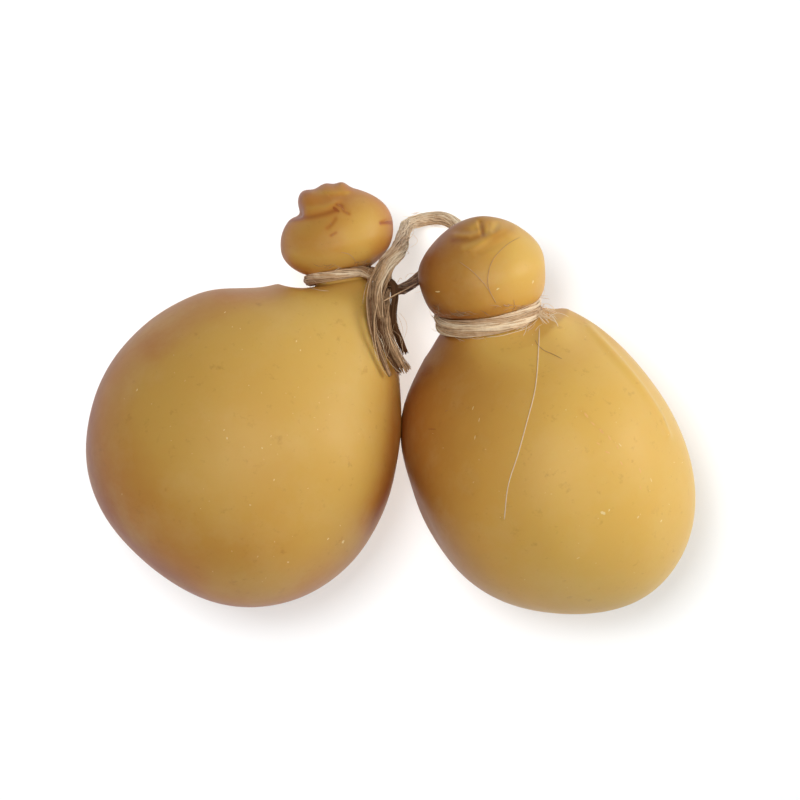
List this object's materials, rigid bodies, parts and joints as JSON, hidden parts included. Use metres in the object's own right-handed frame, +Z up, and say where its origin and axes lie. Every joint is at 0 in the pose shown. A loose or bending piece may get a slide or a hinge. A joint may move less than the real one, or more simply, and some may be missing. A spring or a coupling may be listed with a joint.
{
  "type": "smoked caciocavallo",
  "caption": "Smoked caciocavallo cheeses, pear-shaped with knobbed heads, tied neck to neck with raffia twine and lying on their sides.",
  "frame": {"origin": "on the surface that the pair lies on, under the middle of the box round the cheeses, the turns round their necks and the knot, without the free lengths of twine", "axes": "+Z up from the surface; +Y towards the heads; +X from the first cheese to the second, across the pair"},
  "size_m": [0.2558, 0.1818, 0.1224],
  "materials": {
    "smoked_rind_left": "satin, waxy smoked rind, amber at the smoked side and golden on top",
    "smoked_rind_right": "satin, waxy smoked rind, golden yellow with brown smoke on the inner side",
    "raffia": "dry, fibrous, matte"
  },
  "bodies": {
    "root": {"cheese_left": "smoked_rind_left", "cheese_right": "smoked_rind_right", "neck_twine_left": "raffia", "neck_twine_right": "raffia", "twine_knot": "raffia", "twine_hanger": "raffia", "twine_link": "raffia", "twine_tail_1": "raffia", "twine_tail_2": "raffia", "twine_tail_3": "raffia"}
  },
  "joints": []
}
